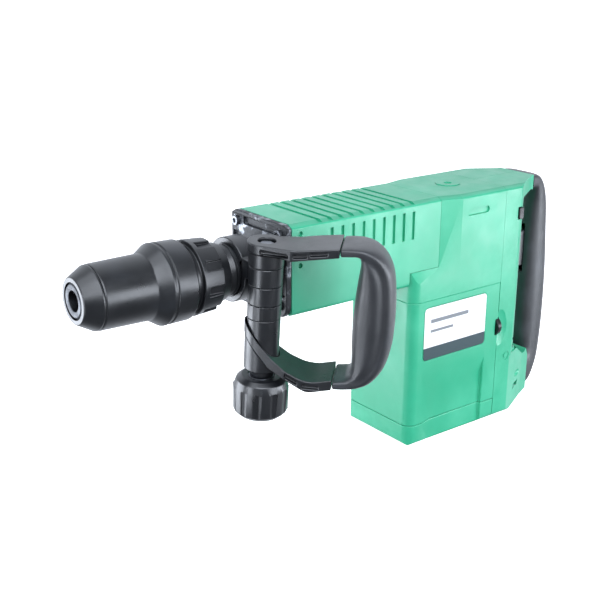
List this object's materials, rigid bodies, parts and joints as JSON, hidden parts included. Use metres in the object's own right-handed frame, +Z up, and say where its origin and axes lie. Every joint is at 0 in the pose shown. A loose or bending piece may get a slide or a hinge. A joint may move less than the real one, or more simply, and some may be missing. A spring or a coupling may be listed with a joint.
{
  "type": "demolition hammer",
  "caption": "Electric demolition hammer with an upright motor, a D-shaped rear handle, a swivelling D-shaped side handle and a keyless chisel chuck.",
  "frame": {"origin": "middle of the flat foot under the upright motor", "axes": "+X along the tool towards the rear handle, +Z up, the chisel end at -X"},
  "size_m": [0.595, 0.1927, 0.2652],
  "materials": {
    "green_shell": "satin moulded plastic",
    "black_plastic": "satin glass-filled plastic",
    "soft_grip": "soft moulded rubber",
    "black_metal": "blackened, semi-gloss",
    "bright_steel": "ground steel",
    "steel": "machined steel",
    "alloy": "cast aluminium",
    "copper": "copper",
    "label": "printed film",
    "carbon": "matte"
  },
  "bodies": {
    "housing": {"barrel_cover": "green_shell", "gear_cover": "green_shell", "motor_housing": "green_shell", "base_cap": "green_shell", "rear_housing_left": "green_shell", "rear_housing_right": "green_shell", "rear_grip": "soft_grip", "switch_body": "carbon", "cord_gland": "black_plastic", "grease_cap": "green_shell", "label_plate": "label", "front_plate": "black_plastic", "plate_screw_1": "steel", "plate_screw_2": "steel", "plate_screw_3": "steel", "plate_screw_4": "steel", "neck_tube": "black_metal", "cylinder_tube": "steel", "gear_housing": "alloy", "crank_bearing": "steel", "upper_bearing": "steel", "lower_bearing": "steel", "stator": "copper", "brush_left": "carbon", "brush_right": "carbon"},
    "chuck": {"tool_holder": "bright_steel", "locking_roller_left": "steel", "locking_roller_right": "steel", "dust_cap": "soft_grip", "sleeve_spring": "steel", "angle_ring": "black_metal"},
    "sleeve": {"locking_sleeve": "black_metal"},
    "clamp": {"clamp_band": "black_plastic", "column_spacer": "black_plastic", "locking_disc": "black_plastic", "column_tube": "black_plastic", "clamp_bolt": "steel"},
    "side_handle": {"handle_top_arm": "black_plastic", "handle_bottom_arm": "black_plastic", "handle_grip": "soft_grip"},
    "knob": {"clamp_knob": "black_plastic", "knob_washer": "steel"},
    "trigger": {"trigger": "black_plastic"},
    "lock_button": {"lock_button": "black_plastic"},
    "speed_dial": {"speed_dial": "black_plastic"},
    "rotor": {"armature": "steel", "commutator": "copper", "fan": "black_plastic"},
    "crank": {"crank_gear": "steel"},
    "rod": {"connecting_rod": "steel"},
    "piston": {"piston": "alloy", "piston_pin": "steel"},
    "striker": {"striker": "steel"},
    "impact_bolt": {"impact_bolt": "steel"}
  },
  "joints": [
    {"name": "chisel_angle_turn", "type": "hinge", "parent": "housing", "child": "chuck", "pos_m": [-0.349, 0, 0.22], "axis": [1, 0, 0], "continuous": true},
    {"name": "sleeve_slide", "type": "slide", "parent": "chuck", "child": "sleeve", "axis": [1, 0, 0], "range_m": [0, 0.006], "stiffness_N_per_m": 900, "springref_m": -0.01},
    {"name": "clamp_swivel", "type": "hinge", "parent": "housing", "child": "clamp", "pos_m": [-0.246, 0, 0.22], "axis": [1, 0, 0], "continuous": true},
    {"name": "side_handle_swing", "type": "hinge", "parent": "clamp", "child": "side_handle", "pos_m": [-0.246, -0.04885, 0.21616], "axis": [0, 0.0785, -0.9969], "range_deg": [0, 90]},
    {"name": "knob_turn", "type": "hinge", "parent": "clamp", "child": "knob", "pos_m": [-0.246, -0.04885, 0.21616], "axis": [0, -0.0785, 0.9969], "continuous": true},
    {"name": "trigger_pull", "type": "slide", "parent": "housing", "child": "trigger", "axis": [1, 0, 0], "range_m": [0, 0.006], "stiffness_N_per_m": 600, "springref_m": -0.008},
    {"name": "lock_button_press", "type": "slide", "parent": "housing", "child": "lock_button", "axis": [0, 1, 0], "range_m": [0, 0.0025], "stiffness_N_per_m": 400, "springref_m": -0.004},
    {"name": "speed_dial_turn", "type": "hinge", "parent": "housing", "child": "speed_dial", "pos_m": [0.0646, -0.0432, 0.1085], "axis": [1, 0, 0], "range_deg": [-135, 135]},
    {"name": "rotor_spin", "type": "hinge", "parent": "housing", "child": "rotor", "pos_m": [0.023, 0, 0.22], "axis": [0, 0, 1], "continuous": true},
    {"name": "crank_spin", "type": "hinge", "parent": "housing", "child": "crank", "pos_m": [-0.0202, 0, 0.22], "axis": [0, 0, 1], "continuous": true},
    {"name": "rod_pivot", "type": "hinge", "parent": "crank", "child": "rod", "pos_m": [-0.0062, 0, 0.22], "axis": [0, 0, 1], "continuous": true},
    {"name": "piston_slide", "type": "slide", "parent": "housing", "child": "piston", "axis": [-1, 0, 0], "range_m": [0, 0.028]},
    {"name": "striker_slide", "type": "slide", "parent": "housing", "child": "striker", "axis": [-1, 0, 0], "range_m": [0, 0.02]},
    {"name": "impact_bolt_slide", "type": "slide", "parent": "chuck", "child": "impact_bolt", "axis": [-1, 0, 0], "range_m": [0, 0.008]}
  ],
  "couplings": [
    {"joint": "crank_spin", "follows": "rotor_spin", "ratio": -0.2},
    {"joint": "rod_pivot", "follows": "rotor_spin", "ratio": 0.2}
  ]
}
